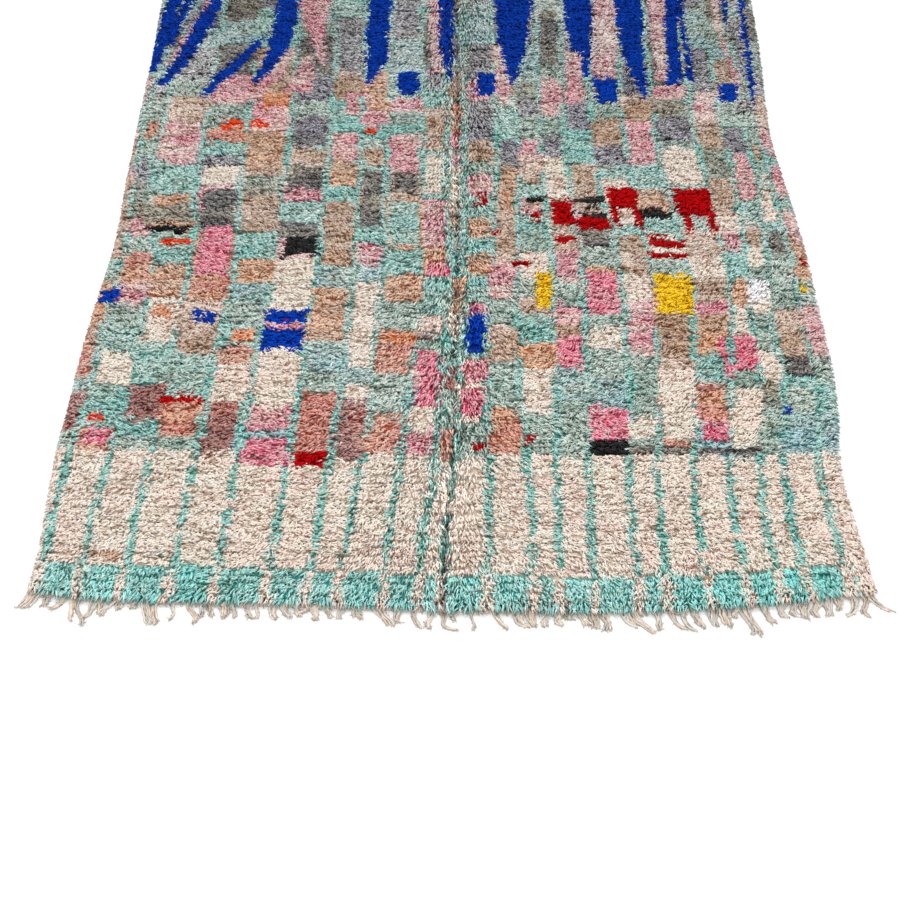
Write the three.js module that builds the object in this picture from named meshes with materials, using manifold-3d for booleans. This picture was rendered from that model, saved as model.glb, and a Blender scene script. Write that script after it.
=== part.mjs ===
// A hand-knotted wool rug that lies flat: the pile cloth, and the fringe at its near end.
// Millimetres, +Z up. The rug's length runs along +Y, away from the fringed end.
// The origin is on the floor under the middle of the rug's box.
import * as THREE from 'three';
import { mergeVertices } from 'three/addons/utils/BufferGeometryUtils.js';
import Module from 'manifold-3d';

const wasm = await Module();
wasm.setup();

// Main sizes
const LENGTH = 2600;            // from the near edge's middle to the far hem
const PILE_HEIGHT = 20;         // the pile's usual height over the floor
const PILE_DRIFT = 2.4;         // how far the pile's height swells and sinks
const TUFT_DRIFT = 2.6;         // how far single lumps stand over their neighbours
const SIDE_HEIGHT = 9;          // height of the rim's fullest line
const ROLL_OVER = 16;           // how far in from the rim the pile reaches its height
const TUCK_UNDER = 6;           // how far in from the rim the cloth meets the floor
const SIDE_SLACK = 7;           // the rim stays this far inside the outline, for the locks
const WIDTH = 1580;             // usual width between the sides
const HEM_LENGTH = 22;          // flat-woven hem at the far end
const HEM_HEIGHT = 4;
const CREASE_DEPTH = 7;         // the parting of the pile along the old fold
const CREASE_REACH = 20;
const HALF_COLUMNS = 16;        // columns of the slab's mesh on each side of the crease
const ROWS = 52;

// Outline of the pile: where the left and right sides lie, along the rug
const SIDES = [
  { along: 0, left: -790, right: 797 },
  { along: 90, left: -787, right: 789 },
  { along: 220, left: -794, right: 776 },
  { along: 330, left: -798, right: 775 },
  { along: 450, left: -795, right: 791 },
  { along: 600, left: -794, right: 799 },
  { along: 760, left: -785, right: 796 },
  { along: 920, left: -776, right: 793 },
  { along: 1130, left: -782, right: 779 },
  { along: 1270, left: -785, right: 767 },
  { along: 1400, left: -787, right: 770 },
  { along: 1600, left: -790, right: 781 },
  { along: 1830, left: -797, right: 788 },
  { along: 2200, left: -790, right: 794 },
  { along: 2600, left: -798, right: 790 },
];

// The near edge bows: how far it lies ahead of its middle, across the rug
const NEAR_EDGE = [
  { across: -800, ahead: 32 },
  { across: -650, ahead: 13 },
  { across: -370, ahead: 9 },
  { across: 0, ahead: 0 },
  { across: 280, ahead: -3 },
  { across: 560, ahead: 15 },
  { across: 740, ahead: 38 },
  { across: 800, ahead: 43 },
];
const BOW_FADE = 700;           // the bow fades out over this much of the length

// Where the lengthwise crease runs
const CREASE = [
  { along: 0, across: -14 },
  { along: 120, across: -11 },
  { along: 330, across: 0 },
  { along: 800, across: 5 },
  { along: 1500, across: 2 },
  { along: 1830, across: -3 },
  { along: 2600, across: 0 },
];

// Locks of pile that stand out of the rim
const LOCK = { width: 20, thick: 8, root: 11, reach: 13, spread: 15 };
const LOCK_RUNS = [
  { rim: 'left', outward: [-1, 0], pitch: 41, rootHeight: 13.5, tipHeight: 3.5 },
  { rim: 'right', outward: [1, 0], pitch: 41, rootHeight: 13.5, tipHeight: 3.5 },
  { rim: 'near', outward: [0, -1], pitch: 58, rootHeight: 14.5, tipHeight: 8 },
  { rim: 'far', outward: [0, 1], pitch: 58, rootHeight: 14.5, tipHeight: 8 },
];

// Warp ends at the near edge
const STRIP = { width: 12, height: 4, gap: 0.4 };
const STRAND = { pitch: 19.2, width: 8.5, height: 5, root: 9, shortest: 30, longest: 66, steps: 4 };
const CORNER_FAN = { reach: 130, lean: 26 };

// A repeatable number from 0 to 1 for each whole number
function chance(index, stream) {
  const wave = Math.sin(index * 12.9898 + stream * 78.233) * 43758.5453;
  return wave - Math.floor(wave);
}

// Smooth curve through one column of a table, read at a place in its key column
function read(table, key, column, place) {
  let row = 0;
  while (row < table.length - 2 && place > table[row + 1][key]) row += 1;
  const slope = (index) => {
    const before = table[Math.max(index - 1, 0)];
    const after = table[Math.min(index + 1, table.length - 1)];
    return (after[column] - before[column]) / (after[key] - before[key]);
  };
  const start = table[row];
  const end = table[row + 1];
  const span = end[key] - start[key];
  const t = Math.min(Math.max((place - start[key]) / span, 0), 1);
  const rise = t * t * (3 - 2 * t);
  const bend = t * (1 - t) * span * ((1 - t) * slope(row) - t * slope(row + 1));
  return start[column] + (end[column] - start[column]) * rise + bend;
}

// How far the near edge's bow moves a point along the rug
function bow(across, along) {
  const left = Math.max(1 - Math.max(along, 0) / BOW_FADE, 0);
  return read(NEAR_EDGE, 'across', 'ahead', across) * left * left;
}

// A point of the cloth in plan: -1 is the left side, 0 the crease and 1 the right side
function onCloth(share, along, inset) {
  const fold = read(CREASE, 'along', 'across', along);
  const side = share < 0
    ? read(SIDES, 'along', 'left', along) + inset
    : read(SIDES, 'along', 'right', along) - inset;
  const across = fold + (side - fold) * Math.abs(share);
  return { across, along: along + bow(across, along) };
}

// Height of the pile over the floor
function pileHeight(across, along) {
  const swell = Math.sin(across / 71 + 2.1 * Math.sin(along / 203))
    + Math.sin(along / 57 + 1.7 * Math.sin(across / 167))
    + 0.6 * Math.sin((across + along) / 97 + 1.3);
  const fromCrease = Math.abs(across - read(CREASE, 'along', 'across', along)) / CREASE_REACH;
  const groove = CREASE_DEPTH * Math.exp(-fromCrease * fromCrease);
  return PILE_HEIGHT + (PILE_DRIFT / 2) * swell - groove;
}

// Shares at which the slab has a column: close at the crease, and one where the rim rolls over
function columnShares() {
  const half = [1, 1 - (2 * ROLL_OVER) / WIDTH];
  for (let column = HALF_COLUMNS - 2; column > 0; column -= 1) {
    const step = column / (HALF_COLUMNS - 1);
    half.push(step * (0.5 + 0.5 * step) * half[1]);
  }
  return [...half.map((share) => -share), 0, ...half.reverse()];
}

// A closed body from points and triangles
function solidFrom(points, faces) {
  const geometry = new THREE.BufferGeometry();
  geometry.setAttribute('position', new THREE.Float32BufferAttribute(points.flat(), 3));
  geometry.setIndex(faces.flat());
  return geometry;
}

function toManifold(geometry) {
  geometry.deleteAttribute('normal');
  geometry.deleteAttribute('uv');
  const merged = mergeVertices(geometry, 1e-4);
  return new wasm.Manifold(new wasm.Mesh({
    numProp: 3,
    vertProperties: new Float32Array(merged.attributes.position.array),
    triVerts: new Uint32Array(merged.index.array),
  }));
}

function fromManifold(manifold) {
  const mesh = manifold.getMesh();
  const geometry = new THREE.BufferGeometry();
  geometry.setAttribute('position', new THREE.BufferAttribute(mesh.vertProperties, 3));
  geometry.setIndex(new THREE.BufferAttribute(mesh.triVerts, 1));
  return geometry;
}

// A bar through four-cornered sections, closed at both ends
function barThrough(sections) {
  const points = sections.flat();
  const faces = [[0, 2, 1], [0, 3, 2]];
  for (let step = 0; step < sections.length - 1; step += 1) {
    for (let side = 0; side < 4; side += 1) {
      const a = step * 4 + side;
      const b = step * 4 + (side + 1) % 4;
      faces.push([a, b, b + 4], [a, b + 4, a + 4]);
    }
  }
  const last = (sections.length - 1) * 4;
  faces.push([last, last + 1, last + 2], [last, last + 2, last + 3]);
  return solidFrom(points, faces);
}

// The slab: a height field over the outline, a rounded rim and a flat underside
function makeSlab() {
  const shares = columnShares();
  const pileEnd = LENGTH - HEM_LENGTH;
  const hemRows = [pileEnd + 3, LENGTH];
  const alongs = [0, 5, ROLL_OVER];
  const inner = ROWS - 6;
  const columns = shares.length - 1;
  for (let row = 1; row < inner; row += 1) {
    alongs.push(ROLL_OVER + (pileEnd - 2 * ROLL_OVER) * (row / inner));
  }
  alongs.push(pileEnd - ROLL_OVER, pileEnd - 4, ...hemRows);

  const points = [];
  const top = alongs.map((along, row) => shares.map((share, column) => {
    const { across, along: ahead } = onCloth(share, along, SIDE_SLACK);
    const onHem = along > pileEnd;
    const onSide = column === 0 || column === columns;
    const onEnd = row === 0 || row === alongs.length - 1;
    const tuft = TUFT_DRIFT * (chance(row * shares.length + column, 5) - 0.5);
    let height = pileHeight(across, along) + tuft;
    if (onHem) height = HEM_HEIGHT;
    else if (onSide || onEnd) height = SIDE_HEIGHT;
    else if (row === 1 || row === alongs.length - 4) height *= 0.86;
    points.push([across, ahead, height]);
    return points.length - 1;
  }));

  const faces = [];
  for (let row = 0; row < top.length - 1; row += 1) {
    for (let column = 0; column < columns; column += 1) {
      const [a, b] = [top[row][column], top[row][column + 1]];
      const [d, c] = [top[row + 1][column], top[row + 1][column + 1]];
      if ((row + column) % 2) faces.push([a, b, c], [a, c, d]);
      else faces.push([a, b, d], [b, c, d]);
    }
  }

  const rim = [
    ...top[0],
    ...top.slice(1, -1).map((line) => line[columns]),
    ...top[top.length - 1].slice().reverse(),
    ...top.slice(1, -1).map((line) => line[0]).reverse(),
  ];
  const last = alongs.length - 1;
  const onSideOnly = new Set(top.slice(1, last).flatMap((line) => [line[0], line[columns]]));
  const base = rim.map((index) => {
    const [across, ahead] = points[index];
    const tuck = onSideOnly.has(index) ? TUCK_UNDER * Math.sign(across) : 0;
    points.push([across - tuck, ahead, 0]);
    return points.length - 1;
  });
  for (let side = 0; side < rim.length; side += 1) {
    const next = (side + 1) % rim.length;
    faces.push([rim[side], base[side], base[next]], [rim[side], base[next], rim[next]]);
  }
  const outline = base.map((index) => new THREE.Vector2(points[index][0], points[index][1]));
  for (const [a, b, c] of THREE.ShapeUtils.triangulateShape(outline, [])) {
    faces.push([base[a], base[c], base[b]]);
  }
  return solidFrom(points, faces);
}

// One tapered lock: it leaves the rim at a place, outward, and droops
function makeLock(index, place, { outward, rootHeight, tipHeight }) {
  const sideways = [-outward[1], outward[0]];
  const reach = LOCK.reach * (0.65 + 0.6 * chance(index, 1));
  const spread = LOCK.spread * (2 * chance(index, 2) - 1);
  const width = LOCK.width * (0.8 + 0.5 * chance(index, 3));
  const middleHeight = 0.45 * rootHeight + 0.55 * tipHeight;
  const stations = [
    { out: -LOCK.root, share: 0, height: rootHeight, wide: width, thick: LOCK.thick },
    { out: 0.5 * reach, share: 0.4, height: middleHeight, wide: 0.8 * width, thick: 0.7 * LOCK.thick },
  ];
  const at = (out, shift, height) => [
    place.across + outward[0] * out + sideways[0] * shift,
    place.along + outward[1] * out + sideways[1] * shift,
    height,
  ];
  const points = stations.flatMap(({ out, share, height, wide, thick }) => [
    at(out, spread * share + wide / 2, height),
    at(out, spread * share, height + thick / 2),
    at(out, spread * share - wide / 2, height),
    at(out, spread * share, height - thick / 2),
  ]);
  points.push(at(reach, spread, tipHeight));
  const faces = [[0, 2, 1], [0, 3, 2]];
  for (let side = 0; side < 4; side += 1) {
    const next = (side + 1) % 4;
    faces.push([side, next, next + 4], [side, next + 4, side + 4], [side + 4, next + 4, 8]);
  }
  return toManifold(solidFrom(points, faces));
}

// The place on the pile's rim that lies a distance along one of its runs
function onRim(rim, distance) {
  const pileEnd = LENGTH - HEM_LENGTH;
  if (rim === 'left') return onCloth(-1, distance, SIDE_SLACK);
  if (rim === 'right') return onCloth(1, distance, SIDE_SLACK);
  const share = (2 * distance) / WIDTH - 1;
  return onCloth(share, rim === 'near' ? 0 : pileEnd, SIDE_SLACK);
}

// Locks along both sides, over the near edge, and over the far hem
function makeLocks() {
  const locks = [];
  for (const run of LOCK_RUNS) {
    const whole = run.outward[0] ? LENGTH - HEM_LENGTH : WIDTH;
    const count = Math.floor(whole / run.pitch) - 1;
    for (let step = 0; step < count; step += 1) {
      const jitter = 0.3 * run.pitch * (chance(locks.length, 4) - 0.5);
      const place = onRim(run.rim, (step + 1) * run.pitch + jitter);
      locks.push(makeLock(locks.length, place, run));
    }
  }
  return locks;
}

// The knotted pile cloth with its locks
function makeRug() {
  return fromManifold(wasm.Manifold.union([toManifold(makeSlab()), ...makeLocks()]));
}

// One loose warp end on the floor, from its root in the strip to its tip
function makeStrand(index, across) {
  const length = STRAND.shortest
    + (STRAND.longest - STRAND.shortest) * chance(index, 11) ** 1.4;
  const fromCorner = Math.max(0, Math.abs(across) - (795 - CORNER_FAN.reach)) / CORNER_FAN.reach;
  const lean = 7 * Math.sin(index * 0.83) + 4 * (chance(index, 12) - 0.5)
    + Math.sign(across) * CORNER_FAN.lean * fromCorner * fromCorner * (length / STRAND.longest);
  const wiggle = 3.5 * (chance(index, 13) - 0.5);
  const width = STRAND.width * (0.85 + 0.3 * chance(index, 14));
  const knotted = chance(index, 15) > 0.55 ? 1.35 : 1;
  const start = read(NEAR_EDGE, 'across', 'ahead', across) - STRIP.width;
  const sections = [];
  for (let step = 0; step <= STRAND.steps; step += 1) {
    const share = step / STRAND.steps;
    const middle = across + lean * share * share + wiggle * Math.sin(share * 5.2);
    const ahead = start + STRAND.root - (length + STRAND.root) * share;
    const wide = step === STRAND.steps - 1 ? width * knotted : width * (1 - 0.25 * share);
    const high = STRAND.height * (step === 0 ? 0.6 : 1 - 0.3 * share);
    sections.push([
      [middle + wide / 2, ahead, 0],
      [middle + 0.36 * wide, ahead, high],
      [middle - 0.36 * wide, ahead, high],
      [middle - wide / 2, ahead, 0],
    ]);
  }
  return toManifold(barThrough(sections));
}

// The flat-woven strip along the near edge, with the strands rooted in it
function makeFringe() {
  const edges = columnShares().map((share) => onCloth(share, 0, SIDE_SLACK));
  const sections = edges.map(({ across, along }) => {
    const far = along - STRIP.gap;
    const near = far - STRIP.width;
    return [
      [across, near, 0],
      [across, far, 0],
      [across, far, STRIP.height],
      [across, near, STRIP.height],
    ];
  });
  const strip = toManifold(barThrough(sections));
  const strands = [];
  const first = edges[0].across + STRAND.pitch / 2;
  const count = Math.floor((edges[edges.length - 1].across - edges[0].across) / STRAND.pitch);
  for (let index = 0; index < count; index += 1) {
    const jitter = 0.22 * STRAND.pitch * (chance(index, 16) - 0.5);
    strands.push(makeStrand(index, first + index * STRAND.pitch + jitter));
  }
  return fromManifold(wasm.Manifold.union([strip, ...strands]));
}

function named(name, geometry, colour) {
  const flat = geometry.toNonIndexed();
  flat.computeVertexNormals();
  const finish = new THREE.MeshStandardMaterial({ color: colour, roughness: 0.95, metalness: 0 });
  const mesh = new THREE.Mesh(flat, finish);
  mesh.name = name;
  return mesh;
}

const rug = new THREE.Group();
rug.add(named('rug', makeRug(), 0xa9c6b8));
rug.add(named('fringe', makeFringe(), 0xd9cdbb));

const box = new THREE.Box3().setFromObject(rug);
const centre = box.getCenter(new THREE.Vector3());
rug.position.set(-centre.x, -centre.y, -box.min.z);

export default rug;
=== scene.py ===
"""A hand-knotted wool rug, laid flat: woven ground, leaning pile, far hem and warp fringe."""
import math
import random

import bpy
import numpy as np
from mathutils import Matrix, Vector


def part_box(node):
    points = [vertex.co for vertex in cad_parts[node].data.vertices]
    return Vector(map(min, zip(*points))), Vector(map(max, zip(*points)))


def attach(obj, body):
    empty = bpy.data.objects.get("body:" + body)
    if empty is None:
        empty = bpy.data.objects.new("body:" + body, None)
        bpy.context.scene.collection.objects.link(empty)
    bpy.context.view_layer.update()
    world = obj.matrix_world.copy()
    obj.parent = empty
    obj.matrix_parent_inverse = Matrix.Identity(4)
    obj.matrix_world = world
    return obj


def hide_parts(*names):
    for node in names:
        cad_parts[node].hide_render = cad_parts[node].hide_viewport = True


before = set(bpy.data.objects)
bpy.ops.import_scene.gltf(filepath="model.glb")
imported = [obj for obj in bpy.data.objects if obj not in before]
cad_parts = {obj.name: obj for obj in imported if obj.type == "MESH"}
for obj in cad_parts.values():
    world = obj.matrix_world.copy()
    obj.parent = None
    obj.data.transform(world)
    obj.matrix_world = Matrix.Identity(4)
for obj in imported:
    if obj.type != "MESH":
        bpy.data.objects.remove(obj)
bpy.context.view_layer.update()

bl_info = {
    "name": "Knotted pile rug",
    "version": (1, 0, 0),
    "blender": (4, 5, 0),
    "location": "View3D > Sidebar > Rug",
    "description": "Makes a thick knotted rug with a patchwork of yarns and a warp fringe",
    "category": "Add Mesh",
}

# Plan of the rug, in metres: along runs from the near edge's middle to the far hem, the shift
# puts the plan's middle where the frame has it, and the bow of the near edge fades out ahead
LENGTH = 2.600
HEM_LENGTH = 0.022
PILE_END = LENGTH - HEM_LENGTH
HALF_WIDTH = 0.790
NEAR_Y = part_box("rug")[1][1] - LENGTH
SHIFT_X = -0.0005
BOW_FADE = 0.700

# Bands of the pattern, by where each one ends
BORDER_END = 0.062
PLAIN_END = 0.335
PATCHWORK_END = 1.430
STREAKS_END = 2.240
FAR_PLAIN_END = 2.520

# Outline of the pile: where its left and right sides lie, along the rug
SIDES = [
    dict(along=0.000, left=-0.790, right=0.797),
    dict(along=0.090, left=-0.787, right=0.789),
    dict(along=0.220, left=-0.794, right=0.776),
    dict(along=0.330, left=-0.798, right=0.775),
    dict(along=0.450, left=-0.795, right=0.791),
    dict(along=0.600, left=-0.794, right=0.799),
    dict(along=0.760, left=-0.785, right=0.796),
    dict(along=0.920, left=-0.776, right=0.793),
    dict(along=1.130, left=-0.782, right=0.779),
    dict(along=1.270, left=-0.785, right=0.767),
    dict(along=1.400, left=-0.787, right=0.770),
    dict(along=1.600, left=-0.790, right=0.781),
    dict(along=1.830, left=-0.797, right=0.788),
    dict(along=2.200, left=-0.790, right=0.794),
    dict(along=2.600, left=-0.798, right=0.790),
]

# The near edge bows: how far it lies ahead of its middle, across the rug
NEAR_EDGE = [
    dict(across=-0.800, ahead=0.032),
    dict(across=-0.650, ahead=0.013),
    dict(across=-0.370, ahead=0.009),
    dict(across=0.000, ahead=0.000),
    dict(across=0.280, ahead=-0.003),
    dict(across=0.560, ahead=0.015),
    dict(across=0.740, ahead=0.038),
    dict(across=0.800, ahead=0.043),
]

# Where the lengthwise crease runs
CREASE = [
    dict(along=0.000, across=-0.014),
    dict(along=0.120, across=-0.011),
    dict(along=0.330, across=0.000),
    dict(along=0.800, across=0.005),
    dict(along=1.500, across=0.002),
    dict(along=1.830, across=-0.003),
    dict(along=2.600, across=0.000),
]

# Which way the pile lies on either side of the crease, in degrees from straight towards the
# fringe, where plus is to the right
NAP = [
    dict(along=0.000, left=-38, right=14),
    dict(along=0.060, left=-48, right=24),
    dict(along=0.130, left=-66, right=70),
    dict(along=0.350, left=-82, right=98),
    dict(along=0.800, left=-98, right=112),
    dict(along=1.300, left=-112, right=108),
    dict(along=1.900, left=-108, right=100),
    dict(along=2.600, left=-100, right=100),
]

# The nap has turned fully out by this share of the way to a side, and by the crease, over this
# many metres, it lies towards the fringe and leans in a little
NAP_TURNED_BY = 0.30
NAP_PARTED = 0.040

# Where the thin mint lines between the pattern's columns run, at a few places along the rug, half
# a line's width, and half the gap between blocks of the end borders
COLUMN_LINES = [
    dict(along=0.160, across=(-0.773, -0.698, -0.612, -0.520, -0.435, -0.335, -0.256, -0.195,
                              -0.114, -0.045, -0.004, 0.082, 0.167, 0.217, 0.280, 0.359,
                              0.411, 0.486, 0.559, 0.618, 0.668, 0.745)),
    dict(along=0.470, across=(-0.755, -0.670, -0.597, -0.508, -0.422, -0.322, -0.238, -0.172,
                              -0.095, -0.027, 0.010, 0.072, 0.140, 0.214, 0.276, 0.367,
                              0.427, 0.500, 0.573, 0.639, 0.685, 0.755)),
    dict(along=0.780, across=(-0.762, -0.683, -0.604, -0.504, -0.416, -0.323, -0.233, -0.169,
                              -0.080, -0.020, 0.022, 0.068, 0.132, 0.215, 0.278, 0.367,
                              0.433, 0.519, 0.605, 0.640, 0.688, 0.750)),
    dict(along=1.170, across=(-0.770, -0.735, -0.622, -0.515, -0.410, -0.308, -0.234, -0.169,
                              -0.081, -0.022, 0.022, 0.105, 0.155, 0.213, 0.275, 0.344,
                              0.425, 0.504, 0.606, 0.678, 0.733, 0.765)),
    dict(along=2.250, across=(-0.770, -0.700, -0.615, -0.520, -0.420, -0.320, -0.240, -0.175,
                              -0.100, -0.030, 0.020, 0.090, 0.160, 0.220, 0.280, 0.355,
                              0.420, 0.500, 0.590, 0.650, 0.710, 0.760)),
]
LINE_HALF = 0.0070
BORDER_GAP_HALF = 0.0095

# Blocks of the patchwork: their usual lengths in metres, how many columns lie left of the crease,
# how far apart in neighbouring columns two blocks of one yarn start, mints aside, and how readily
# a mint block follows another mint one, or a block of another yarn
BLOCK_LENGTHS = (0.050, 0.066, 0.083, 0.100, 0.133)
LEFT_COLUMNS = 11
BLOCKS_APART = 0.07
MINT_AFTER_MINT = 0.35
MINT_AFTER_OTHER = 1.5

# Shares of the yarns in the patchwork, by side and by where the zone ends along the rug, the yarns
# that count as mint, and those that no mint line crosses
PATCHWORK_ZONES = [
    dict(side=-1, end=0.56, yarns=dict(mint=7, frost=3, aqua=2, sage=1, salmon=3, pink=1, cream=3,
                                       brown=2)),
    dict(side=-1, end=0.82, yarns=dict(aqua=4, mint=6, sage=2, peach=5, cream=4, salmon=2, pink=2,
                                       tan=2)),
    dict(side=-1, end=1.10, yarns=dict(mint=6, frost=3, sage=2, pink=8, tan=4, cream=2, peach=2,
                                       stone=1)),
    dict(side=-1, end=1.46, yarns=dict(mint=4, frost=2, sage=2, pink=8, tan=6, mauve=3, salmon=2,
                                       peach=3)),
    dict(side=1, end=0.56, yarns=dict(frost=7, mint=2, sage=3, aqua=3, cream=5, salmon=1, pink=1,
                                      stone=1)),
    dict(side=1, end=0.82, yarns=dict(frost=5, sage=3, mint=2, stone=1, pink=3, tan=4, peach=3,
                                      cream=4)),
    dict(side=1, end=1.10, yarns=dict(frost=3, mint=4, stone=1, pink=4, tan=6, cream=4, peach=3)),
    dict(side=1, end=1.46, yarns=dict(sage=4, mint=2, stone=1, pink=5, tan=7, mauve=8)),
    dict(side=-1, end=2.30, yarns=dict(mauve=9, grey=3, mint=3, aqua=4, sage=1)),
    dict(side=1, end=2.30, yarns=dict(mauve=10, grey=3, aqua=3, sage=3, stone=1)),
]
MINTS = ("mint", "frost", "sage", "aqua", "stone")
UNCROSSED = ("red", "blue", "yellow", "black", "orange")

# Long streaks that taper towards the fringe, in millimetres: the yarn, then the middle across,
# the distance along and the width at places from the near end to the far one
STREAKS = [
    ("blue", (-785, 1530, 30), (-765, 1680, 40), (-755, 1830, 35), (-745, 2050, 12)),
    ("blue", (-745, 1630, 14), (-715, 1830, 32), (-695, 2120, 18)),
    ("pink", (-745, 1550, 16), (-675, 1740, 28), (-655, 1830, 34), (-640, 2180, 24)),
    ("blue", (-750, 1470, 22), (-700, 1590, 45), (-660, 1750, 45), (-610, 1950, 12)),
    ("blue", (-635, 1440, 20), (-585, 1530, 42), (-530, 1620, 28), (-500, 1680, 10)),
    ("blue", (-510, 1480, 16), (-470, 1590, 50), (-450, 1730, 58), (-462, 2100, 44)),
    ("pink", (-520, 1420, 30), (-460, 1520, 40), (-425, 1620, 18)),
    ("pink", (-343, 1550, 12), (-365, 1660, 40), (-382, 1830, 85), (-385, 2080, 50)),
    ("pink", (-405, 1440, 70), (-390, 1520, 50), (-385, 1580, 20)),
    ("blue", (-228, 1480, 10), (-205, 1580, 55), (-205, 1830, 64), (-215, 2190, 40)),
    ("pink", (-52, 1530, 26), (-62, 1830, 32), (-70, 2140, 20)),
    ("blue", (-20, 1500, 10), (-26, 1620, 34), (-27, 2200, 38)),
    ("blue", (142, 1470, 10), (150, 1630, 78), (156, 1830, 100), (150, 2160, 50)),
    ("pink", (128, 1400, 34), (106, 1640, 24)),
    ("blue", (340, 1510, 10), (330, 1630, 54), (325, 1830, 75), (320, 2200, 60)),
    ("pink", (385, 1510, 64), (400, 1830, 60), (405, 2100, 40)),
    ("blue", (487, 1430, 8), (470, 1560, 46), (462, 1680, 70), (466, 2220, 70)),
    ("pink", (530, 1500, 22), (545, 1660, 50), (540, 1830, 57), (545, 2060, 30)),
    ("blue", (566, 1490, 44), (572, 1650, 32), (577, 1800, 36), (585, 2120, 20)),
    ("blue", (612, 1490, 20), (605, 1650, 12), (600, 2000, 14)),
    ("blue", (718, 1740, 10), (727, 2100, 24)),
    ("pink", (735, 1450, 10), (700, 1700, 14), (690, 2020, 30)),
    ("blue", (766, 1420, 14), (760, 2180, 18)),
]

# Blocks that stand out of the patchwork, by yarn, in millimetres: the middle across and along,
# then the width and the length. A later one lies over an earlier one.
ACCENTS = {
    "blue": [
        (-370, 660, 92, 105), (45, 660, 40, 110), (-765, 752, 40, 45), (-548, 700, 50, 24),
        (693, 455, 14, 18), (78, 1482, 48, 90), (-125, 1485, 50, 80), (388, 1460, 60, 92),
        (705, 1465, 44, 62),
    ],
    "rose": [
        (-370, 677, 88, 14), (45, 732, 36, 30), (600, 605, 74, 90), (322, 422, 78, 95),
        (-375, 340, 98, 60), (-57, 525, 48, 150), (-715, 376, 50, 36), (320, 776, 74, 120),
        (-45, 845, 50, 48), (42, 465, 50, 80), (-555, 893, 72, 145), (245, 612, 52, 85),
        (560, 735, 74, 30), (538, 400, 54, 50),
    ],
    "red": [
        (253, 1022, 52, 85), (322, 992, 70, 36), (398, 1075, 72, 75), (374, 1010, 18, 60),
        (428, 1008, 18, 60), (565, 1065, 85, 90), (541, 995, 16, 60), (600, 995, 16, 60),
        (480, 936, 82, 22), (480, 898, 84, 20), (252, 940, 40, 20), (190, 1008, 34, 18),
        (66, 1070, 20, 46), (94, 960, 14, 20), (142, 860, 36, 16), (-560, 470, 80, 18),
        (-285, 323, 60, 30), (158, 376, 20, 24), (54, 353, 28, 18), (774, 878, 12, 16),
    ],
    "yellow": [(193, 788, 36, 115), (478, 776, 80, 112), (772, 800, 14, 16)],
    "black": [
        (-362, 911, 76, 62), (-675, 966, 100, 18), (188, 1065, 44, 18), (320, 1060, 66, 18),
        (325, 1020, 56, 20), (470, 1022, 80, 30), (322, 356, 80, 34),
    ],
    "grey": [
        (-365, 966, 108, 46), (-560, 1035, 80, 130), (-355, 1140, 90, 80), (-197, 1065, 55, 190),
        (-122, 1125, 66, 70), (322, 942, 74, 60), (500, 348, 270, 18), (730, 936, 54, 76),
        (722, 578, 56, 50),
    ],
    "tan": [(-355, 1208, 90, 55), (188, 1045, 44, 18), (320, 1040, 66, 18)],
    "stone": [(-672, 1008, 112, 60)],
    "peach": [(470, 1068, 74, 60), (-655, 86, 62, 14)],
    "orange": [
        (-555, 1325, 56, 19), (-486, 1326, 48, 20), (-210, 1308, 28, 20), (-650, 928, 64, 17),
        (-728, 410, 30, 16),
    ],
    "amber": [(-455, 1415, 60, 50), (-120, 640, 78, 40), (-640, 706, 50, 30), (-455, 645, 50, 40)],
    "white": [(664, 795, 44, 60)],
    "cream": [
        (-372, 525, 86, 150), (-372, 760, 86, 85), (-200, 680, 48, 240), (555, 1185, 85, 130),
        (465, 435, 66, 130), (605, 435, 56, 130), (-565, 1145, 88, 70), (-42, 1152, 62, 130),
    ],
    "salmon": [(535, 475, 60, 90), (-278, 408, 60, 135), (-560, 418, 80, 86)],
    "mint": [(538, 556, 60, 70), (-122, 985, 66, 140)],
    "brown": [(-472, 395, 58, 130), (-206, 395, 52, 150)],
    "blush": [(-290, 262, 56, 46), (-296, 135, 56, 50), (40, 130, 60, 76)],
    "frost": [(-566, 82, 50, 10)],
    "pink": [(240, 1450, 46, 115), (308, 1515, 44, 195), (-250, 1405, 60, 80)],
}

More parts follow.
